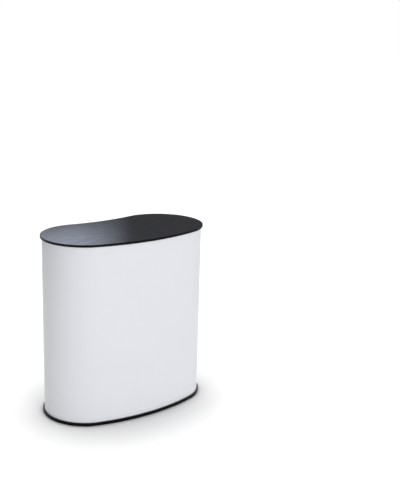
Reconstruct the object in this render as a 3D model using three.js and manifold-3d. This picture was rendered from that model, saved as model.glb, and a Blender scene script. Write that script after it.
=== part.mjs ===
// Exhibition counter of kidney plan, made to come apart and travel flat.
// A black laminated top and base stand on four push-fit post stacks with a shelf half way up.
// A white rollable wrap runs round the front and both ends, held by magnets to a rim plate
// above and below, and a curved, lockable door hangs on pivots in the hollow at the back.
//
// Millimetres, Z up. The origin is on the floor in the middle of the counter's box.
// The customer's side faces -Y, and the door is on the +Y side.
import * as THREE from "three";
import { mergeVertices } from "three/addons/utils/BufferGeometryUtils.js";
import Module from "manifold-3d";

const wasm = await Module();
wasm.setup();

// Overall size and plan: two round ends, a shallow convex front and a hollow back
const counterHeight = 950;
const lobeSpacing = 464;
const lobeRadius = 228;
const frontRadius = 1044;
const hollowRadius = 890;

// Clearance between neighbours, and how far a cutter passes the face that it cuts
const seat = 0.3;
const overrun = 2;

// Boards
const topThickness = 12;
const baseThickness = 15;
const rimThickness = 15;
const shelfThickness = 15;
const shelfTop = 480;
const shelfSetback = 6;
const shelfBackRoom = 14;

// Push-in edge trim, a T in section
const trimFace = 2;
const trimCrown = 0.4;
const trimShoulder = 2;
const barbLength = 6;
const barbThickness = 2;

// Glides under the base
const glideHeight = 3;
const glideRadius = 14;
const glideChamfer = 1;
const middleGlideInset = 50;

// Wrap, and the strips of steel and magnet that hold it
const wrapSetback = 9;
const wrapThickness = 2;
const wrapHeadroom = 1;
const steelThickness = 1.2;
const magnetThickness = 1.5;
const stripHeight = 12;

// Posts: tubes pushed over turned spigots
const postSpacingX = 450;
const postSpacingY = 280;
const postRowShift = -10;
const postRadius = 15;
const tubeWall = 1.5;
const flangeRadius = 25;
const flangeThickness = 4;
const collarRadius = 20;
const spigotLength = 30;
const spigotChamfer = 1.5;

// Jambs at the two ends of the wrap
const jambFlange = 18;
const doorEdgeGap = 3;
const stopGap = 2.5;
const lipCover = 8;
const bufferRadius = 3.5;
const bufferFromEnd = 60;
const pocketRoom = 1;

// Door and its pivots
const doorThickness = 12;
const doorEndGap = 3;
const pivotFromEdge = 8;
const pinRadius = 3;
const pinInDoor = 12;
const pinInBush = 6;
const collarPinRadius = 6;
const bushRadius = 5;
const bushDepth = 8;
const bushFlangeRadius = 8;
const bushFlangeThickness = 1;

// Cam lock
const lockHeight = 700;
const lockFromEdge = 26;
const lockFlangeRadius = 12;
const lockFlangeThickness = 2;
const barrelRadius = 9;
const barrelBehindDoor = 6;
const plugRadius = 6;
const plugRecess = 0.5;
const stubRadius = 3.5;
const keySlotWidth = 2;
const keySlotLength = 8;
const keySlotDepth = 5;
const nutRadius = 13;
const nutThickness = 4;
const camThickness = 2.5;
const camHalfWidth = 7;
const camReach = 25;
const camScrewRadius = 1.7;
const camScrewLength = 8;
const camScrewHeadRadius = 5;
const camScrewHeadThickness = 2.4;

// Pull knob below the lock
const knobDrop = 70;
const knobRadius = 11;
const knobNeckRadius = 5;
const knobFootRadius = 7;
const knobFootThickness = 2;
const knobLength = 16;
const knobHeadThickness = 7;
const knobCrown = 1.5;
const knobScrewRadius = 2;
const knobScrewInKnob = 9;
const knobScrewHeadRadius = 4.5;
const knobScrewHeadThickness = 2.6;

// Facets
const frontSteps = 12;
const lobeFrontSteps = 9;
const lobeBackSteps = 11;
const lobeEndSteps = 1;
const jambSteps = 1;
const hollowSteps = 8;
const postSides = 16;
const smallSides = 12;
const nutSides = 6;
const camSteps = 6;
const mergeTolerance = 0.0001;

// Heights that follow from the stack of boards
const baseBottom = glideHeight;
const baseTop = baseBottom + baseThickness;
const baseRimTop = baseTop + rimThickness;
const topBottom = counterHeight - topThickness;
const topRimBottom = topBottom - rimThickness;
const shelfBottom = shelfTop - shelfThickness;
const doorBottom = baseTop + doorEndGap;
const doorTop = topBottom - doorEndGap;

// Arc centres. Neighbouring arcs are tangent, so each centre lies on a line through two others.
const lobeX = lobeSpacing / 2;
const frontCentre = Math.sqrt((frontRadius - lobeRadius) ** 2 - lobeX ** 2);
const hollowCentre = Math.sqrt((hollowRadius + lobeRadius) ** 2 - lobeX ** 2);
const lobeY = (frontRadius - frontCentre - lobeRadius) / 2;
const hollowY = lobeY + hollowCentre;
const hollowHalfAngle = Math.atan2(lobeX, hollowCentre);

// Insets from the outline, counted inwards, layer by layer
const boardInset = trimFace + seat;
const wrapInner = wrapSetback + wrapThickness;
const steelOuter = wrapInner + seat;
const steelInner = steelOuter + steelThickness;
const magnetOuter = steelInner + seat;
const magnetInner = magnetOuter + magnetThickness;
const rimInset = magnetInner + seat;
const jambThickness = magnetInner - steelOuter;
const doorInner = wrapSetback + doorThickness;
const jambEnd = doorInner + stopGap + jambThickness;
const rimBackInset = jambEnd + pocketRoom;
const shelfInset = rimInset + shelfSetback;
const shelfBackInset = doorInner + shelfBackRoom;

// Finishes
const finish = (color, roughness, metalness) =>
  new THREE.MeshStandardMaterial({ color, roughness, metalness });
const blackLaminate = finish(0x2b2c2f, 0.32, 0);
const blackTrim = finish(0x111214, 0.45, 0);
const blackBoard = finish(0x1d1e20, 0.7, 0);
const whiteWrap = finish(0xe6e8ec, 0.55, 0);
const whiteDoor = finish(0xe3e5e9, 0.5, 0);
const magnetRubber = finish(0x2a2320, 0.8, 0);
const galvanisedSteel = finish(0xa9adb1, 0.4, 0.9);
const satinAluminium = finish(0xb4b7ba, 0.35, 0.9);
const turnedSteel = finish(0x9ea2a6, 0.3, 1);
const nickelPlate = finish(0xc6c4bd, 0.22, 1);
const naturalNylon = finish(0xdcd9cf, 0.5, 0);
const blackNylon = finish(0x1a1a1b, 0.6, 0);
const blackRubber = finish(0x191919, 0.9, 0);

const counter = new THREE.Group();
const add = (parent, name, geometry, material) => {
  const piece = new THREE.Mesh(geometry, material);
  piece.name = name;
  parent.add(piece);
};

// Stations along the outline. Each holds its arc's centre and radius, the angle there, and
// whether an inset shortens the radius (-1, a convex arc) or lengthens it (1, the hollow).
const arc = (centreX, centreY, radius, inward, from, to, steps) => {
  const stations = [];
  for (let i = 0; i <= steps; i += 1) {
    const angle = from + ((to - from) * i) / steps;
    stations.push({ centreX, centreY, radius, inward, angle });
  }
  return stations;
};
const join = (...runs) => runs.reduce((all, run) => [...all, ...run.slice(1)]);
const mirrored = (stations) =>
  stations
    .map((s) => ({ ...s, centreX: -s.centreX, angle: Math.PI - s.angle }))
    .reverse();
const place = (station, inset) => {
  const reach = station.radius + station.inward * inset;
  const x = station.centreX + reach * Math.cos(station.angle);
  const y = station.centreY + reach * Math.sin(station.angle);
  return new THREE.Vector2(x, y);
};

// The outline, anticlockwise from the front left. The right end is split at its sidemost and
// backmost points, which touch the counter's box, and where the jamb's flange ends.
const quarter = Math.PI / 2;
const lobeArc = (from, to, steps) => arc(lobeX, lobeY, lobeRadius, -1, from, to, steps);
const frontTangent = Math.atan2(-frontCentre, lobeX);
const backTangent = quarter + hollowHalfAngle;
const flangeEnd = backTangent - jambFlange / (lobeRadius - wrapInner);
const front = arc(
  0,
  lobeY + frontCentre,
  frontRadius,
  -1,
  -Math.PI - frontTangent,
  frontTangent,
  frontSteps,
);
const rightRound = join(
  lobeArc(frontTangent, 0, lobeFrontSteps),
  lobeArc(0, quarter, lobeBackSteps),
);
const rightFlange = lobeArc(flangeEnd, backTangent, jambSteps);
const rightLobe = join(rightRound, lobeArc(quarter, flangeEnd, lobeEndSteps), rightFlange);
const hollow = arc(
  0,
  hollowY,
  hollowRadius,
  1,
  hollowHalfAngle - quarter,
  -hollowHalfAngle - quarter,
  hollowSteps,
);
const wrapRun = join(mirrored(rightLobe), front, rightLobe);
const stripRun = join(mirrored(rightRound), front, rightRound);
const outline = join(wrapRun, hollow).slice(1);

// A flat slab between two heights, with straight holes through it
const slab = (points, bottom, top, holes = []) => {
  const shape = new THREE.Shape(points);
  shape.holes = holes.map((hole) => new THREE.Path(hole));
  const geometry = new THREE.ExtrudeGeometry(shape, {
    depth: top - bottom,
    bevelEnabled: false,
  });
  const position = geometry.getAttribute("position");
  for (let i = 0; i < position.count; i += 1) {
    position.setZ(i, position.getZ(i) > 0 ? top : bottom);
  }
  return geometry;
};
const circle = (x, y, radius, sides) =>
  new THREE.EllipseCurve(x, y, radius, radius, 0, 2 * Math.PI).getPoints(sides).slice(1);

// A band of the given insets along a run of stations
const band = (run, outer, inner, bottom, top) => {
  const outside = run.map((station) => place(station, outer));
  const inside = run.map((station) => place(station, inner)).reverse();
  return slab([...outside, ...inside], bottom, top);
};

// A solid turned round Z, from a profile of [radius, height]
const turned = (profile, sides) => {
  const points = profile.map(([radius, height]) => new THREE.Vector2(radius, height));
  return new THREE.LatheGeometry(points, sides).rotateX(quarter);
};

// Skins a stack of rings. A closed stack returns to its first ring, an open one is capped.
const loft = (rings, closed) => {
  const count = rings[0].length;
  const layers = closed ? rings.length : rings.length - 1;
  const index = [];
  for (let layer = 0; layer < layers; layer += 1) {
    const low = layer * count;
    const high = ((layer + 1) % rings.length) * count;
    for (let i = 0; i < count; i += 1) {
      const next = (i + 1) % count;
      index.push(low + i, low + next, high + next, low + i, high + next, high + i);
    }
  }
  if (!closed) {
    const last = layers * count;
    for (const [a, b, c] of THREE.ShapeUtils.triangulateShape(rings[0], [])) {
      index.push(c, b, a, last + a, last + b, last + c);
    }
  }
  const positions = rings.flat().flatMap((point) => point.toArray());
  return new THREE.BufferGeometry()
    .setAttribute("position", new THREE.Float32BufferAttribute(positions, 3))
    .setIndex(index);
};
const ring = (inset, height) =>
  outline.map((station) => {
    const point = place(station, inset);
    return new THREE.Vector3(point.x, point.y, height);
  });

// Cuts shapes out of a solid
const solidOf = (geometry) => {
  const bare = geometry.clone().deleteAttribute("normal").deleteAttribute("uv");
  const merged = mergeVertices(bare, mergeTolerance);
  return new wasm.Manifold(
    new wasm.Mesh({
      numProp: 3,
      vertProperties: merged.getAttribute("position").array,
      triVerts: new Uint32Array(merged.index.array),
    }),
  );
};
const cut = (geometry, ...cutters) => {
  const made = cutters.reduce((left, cutter) => left.subtract(solidOf(cutter)), solidOf(geometry));
  const mesh = made.getMesh();
  return new THREE.BufferGeometry()
    .setAttribute("position", new THREE.BufferAttribute(mesh.vertProperties, 3))
    .setIndex(new THREE.BufferAttribute(mesh.triVerts, 1));
};
const rod = (radius, bottom, top, sides) =>
  turned(
    [
      [0, bottom],
      [radius, bottom],
      [radius, top],
      [0, top],
    ],
    sides,
  );

// A point beside the end of the hollow, on the right: across is measured from the line
// where hollow and round end meet, away from the door, and depth inwards from the outline.
const besideHollow = (across, depth) => {
  const reach = hollowRadius + depth;
  const angle = hollowHalfAngle;
  const x = reach * Math.sin(angle) + across * Math.cos(angle);
  const y = hollowY - reach * Math.cos(angle) + across * Math.sin(angle);
  return new THREE.Vector2(x, y);
};
const leftOf = (points) => points.map((point) => new THREE.Vector2(-point.x, point.y));

// Layout of the door in the hollow
const doorEdge = seat + jambThickness + doorEdgeGap;
const doorMiddle = wrapSetback + doorThickness / 2;
const pivot = besideHollow(-doorEdge - pivotFromEdge, doorMiddle);

// Top and base: a grooved board, edge trim, and the rim plate that carries the wrap
const board = (bottom, top) => {
  const middle = (bottom + top) / 2;
  const grooveHalf = barbThickness / 2 + seat;
  const grooveEnd = trimFace + barbLength + seat;
  const rings = [
    ring(boardInset, bottom),
    ring(boardInset, middle - grooveHalf),
    ring(grooveEnd, middle - grooveHalf),
    ring(grooveEnd, middle + grooveHalf),
    ring(boardInset, middle + grooveHalf),
    ring(boardInset, top),
  ];
  return loft(rings, false);
};
const edgeTrim = (bottom, top) => {
  const middle = (bottom + top) / 2;
  const barbHalf = barbThickness / 2;
  const barbEnd = trimFace + barbLength;
  const rings = [
    ring(trimCrown, bottom),
    ring(0, bottom + trimShoulder),
    ring(0, top - trimShoulder),
    ring(trimCrown, top),
    ring(trimFace, top),
    ring(trimFace, middle + barbHalf),
    ring(barbEnd, middle + barbHalf),
    ring(barbEnd, middle - barbHalf),
    ring(trimFace, middle - barbHalf),
    ring(trimFace, bottom),
  ];
  return loft(rings, true);
};
const plate = (around, back, bottom, top, holes = []) => {
  const sides = wrapRun.map((station) => place(station, around));
  const rear = hollow.map((station) => place(station, back));
  return slab([...sides, ...rear], bottom, top, holes);
};
const bushHole = (bottom, top) => {
  const hole = rod(bushRadius + seat, bottom, top, smallSides);
  return hole.translate(pivot.x, pivot.y, 0);
};
const bushHoleDepth = bushDepth + seat;

const topBushHole = bushHole(topBottom - overrun, topBottom + bushHoleDepth);
add(counter, "top_board", cut(board(topBottom, counterHeight), topBushHole), blackLaminate);
add(counter, "top_edge_trim", edgeTrim(topBottom, counterHeight), blackTrim);
add(
  counter,
  "top_rim_plate",
  plate(rimInset, rimBackInset, topRimBottom, topBottom),
  blackBoard,
);

const baseBushHole = bushHole(baseTop - bushHoleDepth, baseTop + overrun);
add(counter, "base_board", cut(board(baseBottom, baseTop), baseBushHole), blackLaminate);
add(counter, "base_edge_trim", edgeTrim(baseBottom, baseTop), blackTrim);
add(
  counter,
  "base_rim_plate",
  plate(rimInset, rimBackInset, baseTop, baseRimTop),
  blackBoard,
);

// Magnet strips round the rim plates, and the steel strips on the wrap that they hold
const stripClearance = (rimThickness - stripHeight) / 2;
const stripLevels = [
  ["top", topRimBottom + stripClearance],
  ["base", baseTop + stripClearance],
];
for (const [level, bottom] of stripLevels) {
  const top = bottom + stripHeight;
  const magnet = band(stripRun, magnetOuter, magnetInner, bottom, top);
  const steel = band(stripRun, steelOuter, steelInner, bottom, top);
  add(counter, `${level}_magnet_strip`, magnet, magnetRubber);
  add(counter, `wrap_${level}_steel_strip`, steel, galvanisedSteel);
}

// The wrap stands on the base board and stops just short of the top board
add(
  counter,
  "wrap_panel",
  band(wrapRun, wrapSetback, wrapInner, baseTop, topBottom - wrapHeadroom),
  whiteWrap,
);

// Posts: spigot, lower tube, joiner through the shelf, upper tube and top spigot
const postY = lobeY + postRowShift;
const posts = [
  ["front_left", -postSpacingX / 2, postY - postSpacingY / 2],
  ["front_right", postSpacingX / 2, postY - postSpacingY / 2],
  ["back_left", -postSpacingX / 2, postY + postSpacingY / 2],
  ["back_right", postSpacingX / 2, postY + postSpacingY / 2],
];
const spigotRadius = postRadius - tubeWall - seat;
const spigotTip = spigotRadius - spigotChamfer;
const lowerTubeBottom = baseRimTop + flangeThickness;
const lowerTubeTop = shelfBottom - flangeThickness;
const upperTubeTop = topRimBottom - flangeThickness;

const tube = (bottom, top) =>
  turned(
    [
      [postRadius - tubeWall, bottom],
      [postRadius, bottom],
      [postRadius, top],
      [postRadius - tubeWall, top],
      [postRadius - tubeWall, bottom],
    ],
    postSides,
  );
const baseSpigot = turned(
  [
    [0, baseRimTop],
    [flangeRadius, baseRimTop],
    [flangeRadius, lowerTubeBottom],
    [spigotRadius, lowerTubeBottom],
    [spigotRadius, lowerTubeBottom + spigotLength - spigotChamfer],
    [spigotTip, lowerTubeBottom + spigotLength],
    [0, lowerTubeBottom + spigotLength],
  ],
  postSides,
);
const shelfJoiner = turned(
  [
    [0, lowerTubeTop - spigotLength],
    [spigotTip, lowerTubeTop - spigotLength],
    [spigotRadius, lowerTubeTop - spigotLength + spigotChamfer],
    [spigotRadius, lowerTubeTop],
    [collarRadius, lowerTubeTop],
    [collarRadius, shelfBottom],
    [spigotRadius, shelfBottom],
    [spigotRadius, shelfTop + spigotLength - spigotChamfer],
    [spigotTip, shelfTop + spigotLength],
    [0, shelfTop + spigotLength],
  ],
  postSides,
);
const topSpigot = turned(
  [
    [0, upperTubeTop - spigotLength],
    [spigotTip, upperTubeTop - spigotLength],
    [spigotRadius, upperTubeTop - spigotLength + spigotChamfer],
    [spigotRadius, upperTubeTop],
    [flangeRadius, upperTubeTop],
    [flangeRadius, topRimBottom],
    [0, topRimBottom],
  ],
  postSides,
);
for (const [corner, x, y] of posts) {
  const stack = new THREE.Group();
  stack.position.set(x, y, 0);
  add(stack, `base_spigot_${corner}`, baseSpigot, turnedSteel);
  add(stack, `lower_post_${corner}`, tube(lowerTubeBottom, lowerTubeTop), satinAluminium);
  add(stack, `shelf_joiner_${corner}`, shelfJoiner, turnedSteel);
  add(stack, `upper_post_${corner}`, tube(shelfTop, upperTubeTop), satinAluminium);
  add(stack, `top_spigot_${corner}`, topSpigot, turnedSteel);
  counter.add(stack);
}

// Shelf, with a hole over each post
const shelfHoles = posts.map(([, x, y]) => circle(x, y, spigotRadius + seat, postSides));
add(
  counter,
  "shelf_board",
  plate(shelfInset, shelfBackInset, shelfBottom, shelfTop, shelfHoles),
  blackBoard,
);

// Glides: one under each post, and one in the middle of the front and of the back
const glide = turned(
  [
    [0, 0],
    [glideRadius - glideChamfer, 0],
    [glideRadius, glideChamfer],
    [glideRadius, glideHeight],
    [0, glideHeight],
  ],
  smallSides,
);
const frontMiddle = lobeY + frontCentre - frontRadius;
const backMiddle = hollowY - hollowRadius;
const glides = [
  ...posts,
  ["front_middle", 0, frontMiddle + middleGlideInset],
  ["back_middle", 0, backMiddle - middleGlideInset],
];
for (const [corner, x, y] of glides) {
  const foot = new THREE.Group();
  foot.position.set(x, y, 0);
  add(foot, `glide_${corner}`, glide, blackNylon);
  counter.add(foot);
}

// Jambs: an angle whose flange lies behind the end of the wrap. The lock's has a lip as well,
// which stops the door and takes the cam.
const jambOutline = (withLip) => {
  const wrapSide = -seat;
  const doorSide = -seat - jambThickness;
  const lipEdge = -doorEdge - lipCover;
  const flangeOut = rightFlange.map((station) => place(station, steelOuter)).reverse();
  const flangeIn = rightFlange.map((station) => place(station, magnetInner));
  const lip = [
    besideHollow(lipEdge, jambEnd),
    besideHollow(lipEdge, jambEnd - jambThickness),
    besideHollow(doorSide, jambEnd - jambThickness),
  ];
  return [
    besideHollow(doorSide, wrapSetback),
    besideHollow(wrapSide, wrapSetback),
    besideHollow(wrapSide, steelOuter),
    ...flangeOut,
    ...flangeIn,
    besideHollow(wrapSide, magnetInner),
    besideHollow(wrapSide, jambEnd),
    ...(withLip ? lip : [besideHollow(doorSide, jambEnd)]),
  ];
};
add(counter, "hinge_jamb", slab(jambOutline(false), baseTop, topBottom), satinAluminium);
add(counter, "lock_jamb", slab(leftOf(jambOutline(true)), baseTop, topBottom), satinAluminium);

// Two rubber buffers between the lip and the closed door
const lockSide = new THREE.Group();
lockSide.position.set(0, hollowY, 0);
lockSide.rotation.z = -hollowHalfAngle;
counter.add(lockSide);
const lipFace = hollowRadius + jambEnd - jambThickness;
const bufferLevels = [
  ["base", doorBottom + bufferFromEnd],
  ["top", doorTop - bufferFromEnd],
];
for (const [level, height] of bufferLevels) {
  const buffer = rod(bufferRadius, seat - lipFace, stopGap - seat - lipFace, smallSides);
  buffer.rotateX(-quarter).translate(doorEdge + lipCover / 2, 0, height);
  add(lockSide, `door_buffer_${level}`, buffer, blackRubber);
}

// Turned pieces of the lock and the knob stand square to the door at their own place on
// its curve. Their heights are depths, counted inwards from the outline.
const lockAcross = doorEdge + lockFromEdge;
const lockAngle = hollowHalfAngle - Math.asin(lockAcross / (hollowRadius + doorMiddle));
const squareToDoor = (geometry, height) =>
  geometry.rotateX(quarter).translate(0, -hollowRadius, height);
const doorFront = new THREE.Group();
doorFront.position.set(0, hollowY, 0);
doorFront.rotation.z = -lockAngle;
counter.add(doorFront);
const lockDepth = wrapSetback - seat - seat;
const barrelEnd = doorInner + barrelBehindDoor;
const knobHeight = lockHeight - knobDrop;

// Door: a curved panel with holes for its pins, lock and knob screw
const doorArc = (depth) => {
  const reach = hollowRadius + depth;
  const half = hollowHalfAngle - Math.asin(doorEdge / reach);
  const run = arc(0, hollowY, hollowRadius, 1, half - quarter, -half - quarter, hollowSteps);
  return run.map((station) => place(station, depth));
};
const doorHole = (radius, height) => {
  const hole = rod(radius + seat, wrapSetback - overrun, doorInner + overrun, smallSides);
  const turn = new THREE.Matrix4().makeRotationZ(-lockAngle).setPosition(0, hollowY, 0);
  return squareToDoor(hole, height).applyMatrix4(turn);
};
const pinHole = (bottom, top) => {
  const hole = rod(pinRadius + seat, bottom, top, smallSides);
  return hole.translate(pivot.x, pivot.y, 0);
};
const pinHoleDepth = pinInDoor + seat;
const doorBlank = slab(
  [...doorArc(wrapSetback), ...doorArc(doorInner).reverse()],
  doorBottom,
  doorTop,
);
add(
  counter,
  "door_panel",
  cut(
    doorBlank,
    pinHole(doorBottom - overrun, doorBottom + pinHoleDepth),
    pinHole(doorTop - pinHoleDepth, doorTop + overrun),
    doorHole(barrelRadius, lockHeight),
    doorHole(knobScrewRadius, knobHeight),
  ),
  whiteDoor,
);

// Pivots: a nylon bush let into each board, and a steel pin in each end of the door.
// The lower pin has a collar that carries the door.
const hinge = new THREE.Group();
hinge.position.set(pivot.x, pivot.y, 0);
counter.add(hinge);
const bushBore = pinRadius + seat;
const baseBush = [
  [bushBore, baseTop - bushDepth],
  [bushRadius, baseTop - bushDepth],
  [bushRadius, baseTop],
  [bushFlangeRadius, baseTop],
  [bushFlangeRadius, baseTop + bushFlangeThickness],
  [bushBore, baseTop + bushFlangeThickness],
  [bushBore, baseTop - bushDepth],
];
const topBush = [
  [bushBore, topBottom - bushFlangeThickness],
  [bushFlangeRadius, topBottom - bushFlangeThickness],
  [bushFlangeRadius, topBottom],
  [bushRadius, topBottom],
  [bushRadius, topBottom + bushDepth],
  [bushBore, topBottom + bushDepth],
  [bushBore, topBottom - bushFlangeThickness],
];
const collarBottom = baseTop + bushFlangeThickness + seat;
const basePin = [
  [0, baseTop - pinInBush],
  [pinRadius, baseTop - pinInBush],
  [pinRadius, collarBottom],
  [collarPinRadius, collarBottom],
  [collarPinRadius, doorBottom],
  [pinRadius, doorBottom],
  [pinRadius, doorBottom + pinInDoor],
  [0, doorBottom + pinInDoor],
];
add(hinge, "base_pivot_bush", turned(baseBush, smallSides), naturalNylon);
add(hinge, "top_pivot_bush", turned(topBush, smallSides), naturalNylon);
add(hinge, "door_base_pivot_pin", turned(basePin, smallSides), turnedSteel);
add(
  hinge,
  "door_top_pivot_pin",
  rod(pinRadius, doorTop - pinInDoor, topBottom + pinInBush, smallSides),
  turnedSteel,
);

// Cam lock: housing and nut clamp the door, the plug turns in the housing with the cam
const flangeFace = lockDepth - lockFlangeThickness;
const housing = [
  [plugRadius + seat, flangeFace],
  [lockFlangeRadius, flangeFace],
  [lockFlangeRadius, lockDepth],
  [barrelRadius, lockDepth],
  [barrelRadius, barrelEnd],
  [plugRadius + seat, barrelEnd],
  [plugRadius + seat, flangeFace],
];
add(
  doorFront,
  "lock_housing",
  squareToDoor(turned(housing, smallSides), lockHeight),
  nickelPlate,
);
const nutBlank = rod(nutRadius, doorInner + seat, doorInner + seat + nutThickness, nutSides);
const nutBore = rod(barrelRadius + seat, doorInner - overrun, barrelEnd + overrun, smallSides);
add(
  doorFront,
  "lock_nut",
  squareToDoor(cut(nutBlank, nutBore), lockHeight),
  nickelPlate,
);
const plugEnd = barrelEnd + seat;
const camFront = plugEnd + seat;
const camBack = camFront + camThickness;
const plug = [
  [0, flangeFace + plugRecess],
  [plugRadius, flangeFace + plugRecess],
  [plugRadius, plugEnd],
  [stubRadius, plugEnd],
  [stubRadius, camBack],
  [camScrewRadius + seat, camBack],
  [camScrewRadius + seat, camBack - camScrewLength - seat],
  [0, camBack - camScrewLength - seat],
];
const keySlot = new THREE.BoxGeometry(keySlotWidth, keySlotLength, keySlotDepth + overrun);
keySlot.translate(0, 0, flangeFace + plugRecess + (keySlotDepth - overrun) / 2);
add(
  doorFront,
  "lock_plug",
  squareToDoor(cut(turned(plug, smallSides), keySlot), lockHeight),
  nickelPlate,
);
const camPoints = [
  ...new THREE.EllipseCurve(0, 0, camHalfWidth, camHalfWidth, 0, Math.PI).getPoints(camSteps),
  new THREE.Vector2(-camHalfWidth, -camReach),
  new THREE.Vector2(camHalfWidth, -camReach),
];
const camHole = circle(0, 0, stubRadius + seat, smallSides);
add(
  doorFront,
  "lock_cam",
  squareToDoor(slab(camPoints, camFront, camBack, [camHole]), lockHeight),
  galvanisedSteel,
);
const camScrew = [
  [0, camBack - camScrewLength],
  [camScrewRadius, camBack - camScrewLength],
  [camScrewRadius, camBack + seat],
  [camScrewHeadRadius, camBack + seat],
  [camScrewHeadRadius, camBack + seat + camScrewHeadThickness],
  [0, camBack + seat + camScrewHeadThickness],
];
add(
  doorFront,
  "cam_screw",
  squareToDoor(turned(camScrew, smallSides), lockHeight),
  turnedSteel,
);

// Pull knob, held from inside by one screw
const knobFace = lockDepth - knobLength;
const knobNeckEnd = knobFace + knobHeadThickness;
const knob = [
  [0, knobFace],
  [knobRadius - knobCrown, knobFace],
  [knobRadius, knobFace + knobCrown],
  [knobRadius, knobNeckEnd - knobCrown],
  [knobNeckRadius, knobNeckEnd],
  [knobNeckRadius, lockDepth - knobFootThickness],
  [knobFootRadius, lockDepth - knobFootThickness],
  [knobFootRadius, lockDepth],
  [knobScrewRadius + seat, lockDepth],
  [knobScrewRadius + seat, lockDepth - knobScrewInKnob - seat],
  [0, lockDepth - knobScrewInKnob - seat],
];
const knobScrewSeat = doorInner + seat;
const knobScrew = [
  [0, lockDepth - knobScrewInKnob],
  [knobScrewRadius, lockDepth - knobScrewInKnob],
  [knobScrewRadius, knobScrewSeat],
  [knobScrewHeadRadius, knobScrewSeat],
  [knobScrewHeadRadius, knobScrewSeat + knobScrewHeadThickness],
  [0, knobScrewSeat + knobScrewHeadThickness],
];
add(doorFront, "door_knob", squareToDoor(turned(knob, postSides), knobHeight), nickelPlate);
add(
  doorFront,
  "knob_screw",
  squareToDoor(turned(knobScrew, smallSides), knobHeight),
  turnedSteel,
);

export default counter;
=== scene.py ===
"""Looks of the exhibition counter of kidney plan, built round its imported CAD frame."""

from functools import partial
from math import asin, atan2, cos, pi, radians, sin, sqrt, tan, tau

import bmesh
import bpy
from mathutils import Matrix, Vector


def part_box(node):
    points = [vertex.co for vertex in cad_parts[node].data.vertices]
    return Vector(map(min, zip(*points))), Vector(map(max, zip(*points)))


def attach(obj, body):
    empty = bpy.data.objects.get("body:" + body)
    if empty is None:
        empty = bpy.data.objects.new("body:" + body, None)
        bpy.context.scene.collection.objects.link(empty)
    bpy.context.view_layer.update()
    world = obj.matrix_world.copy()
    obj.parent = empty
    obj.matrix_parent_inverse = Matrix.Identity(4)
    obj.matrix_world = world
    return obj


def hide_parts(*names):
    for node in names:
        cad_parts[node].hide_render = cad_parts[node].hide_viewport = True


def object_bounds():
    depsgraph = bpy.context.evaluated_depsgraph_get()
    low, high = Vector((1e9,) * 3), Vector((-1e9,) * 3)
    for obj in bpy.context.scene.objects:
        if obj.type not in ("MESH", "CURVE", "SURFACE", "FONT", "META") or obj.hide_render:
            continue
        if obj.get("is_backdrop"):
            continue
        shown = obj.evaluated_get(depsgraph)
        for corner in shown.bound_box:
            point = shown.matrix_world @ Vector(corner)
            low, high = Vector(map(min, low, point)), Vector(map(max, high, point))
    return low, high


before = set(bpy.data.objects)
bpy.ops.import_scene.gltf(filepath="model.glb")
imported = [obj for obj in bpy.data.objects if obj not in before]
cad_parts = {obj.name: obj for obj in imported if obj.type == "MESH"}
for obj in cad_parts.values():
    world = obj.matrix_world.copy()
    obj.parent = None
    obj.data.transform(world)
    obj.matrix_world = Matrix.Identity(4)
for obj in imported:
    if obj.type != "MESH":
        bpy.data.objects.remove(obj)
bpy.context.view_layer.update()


# Glides: six discs moulded in black nylon under the base, which keep it off the floor and let
# it slide. Each is held from below by a countersunk screw.
mm = 0.001
glide_radius = 14 * mm
glide_foot = 13 * mm
glide_chamfer = 1 * mm
glide_sink = 4.6 * mm
glide_bore = 2.4 * mm
sink_depth = 2.2 * mm
keen_edge = 0.2 * mm
blunt_edge = 0.5 * mm
crease = radians(20)
ease_steps = 5
same_point = 0.0001 * mm


def levels(node):
    """The heights of a CAD node's underside and top"""
    low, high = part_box(node)
    return low.z, high.z


def middle(node):
    """The centre of a CAD node"""
    low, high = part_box(node)
    return (low + high) / 2


def eased(corners):
    """A section's points. A corner that gives a third number, a radius, becomes a short arc."""
    points = []
    for i, (x, y, *ease) in enumerate(corners):
        here = Vector((x, y))
        if not ease:
            points.append(here)
            continue
        back = (Vector(corners[i - 1][:2]) - here).normalized()
        ahead = (Vector(corners[(i + 1) % len(corners)][:2]) - here).normalized()
        half = back.angle(ahead) / 2
        radius = ease[0]
        centre = here + (back + ahead).normalized() * radius / sin(half)
        first, last = (here + way * radius / tan(half) - centre for way in (back, ahead))
        for k in range(ease_steps + 1):
            points.append(centre + radius * first.slerp(last, k / ease_steps))
    return points


def put_out(name, data):
    """Puts a mesh, lamp or camera in the scene"""
    made = bpy.data.objects.new(name, data)
    bpy.context.scene.collection.objects.link(made)
    return made


def shaded(mesh):
    """Makes a mesh smooth but for edges sharper than the crease"""
    mesh.shade_smooth()
    mesh.set_sharp_from_angle(angle=crease)


def piece(bm, name, finish):
    """The finished mesh as a piece"""
    bmesh.ops.recalc_face_normals(bm, faces=bm.faces[:])
    mesh = bpy.data.meshes.new(name)
    bm.to_mesh(mesh)
    bm.free()
    shaded(mesh)
    mesh.materials.append(finish)
    return put_out(name, mesh)


def skinned(rings, bm=None, ends=True):
    """Joins neighbouring rings of points and, where asked, fills the two ends"""
    bm = bmesh.new() if bm is None else bm
    loops = [[bm.verts.new(point) for point in ring] for ring in rings]
    for low, high in zip(loops, loops[1:]):
        for i in range(len(low)):
            bm.faces.new((low[i - 1], low[i], high[i], high[i - 1]))
    for loop in (loops[0], loops[-1]) if ends else ():
        bm.faces.new(loop)
    return bm


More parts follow.
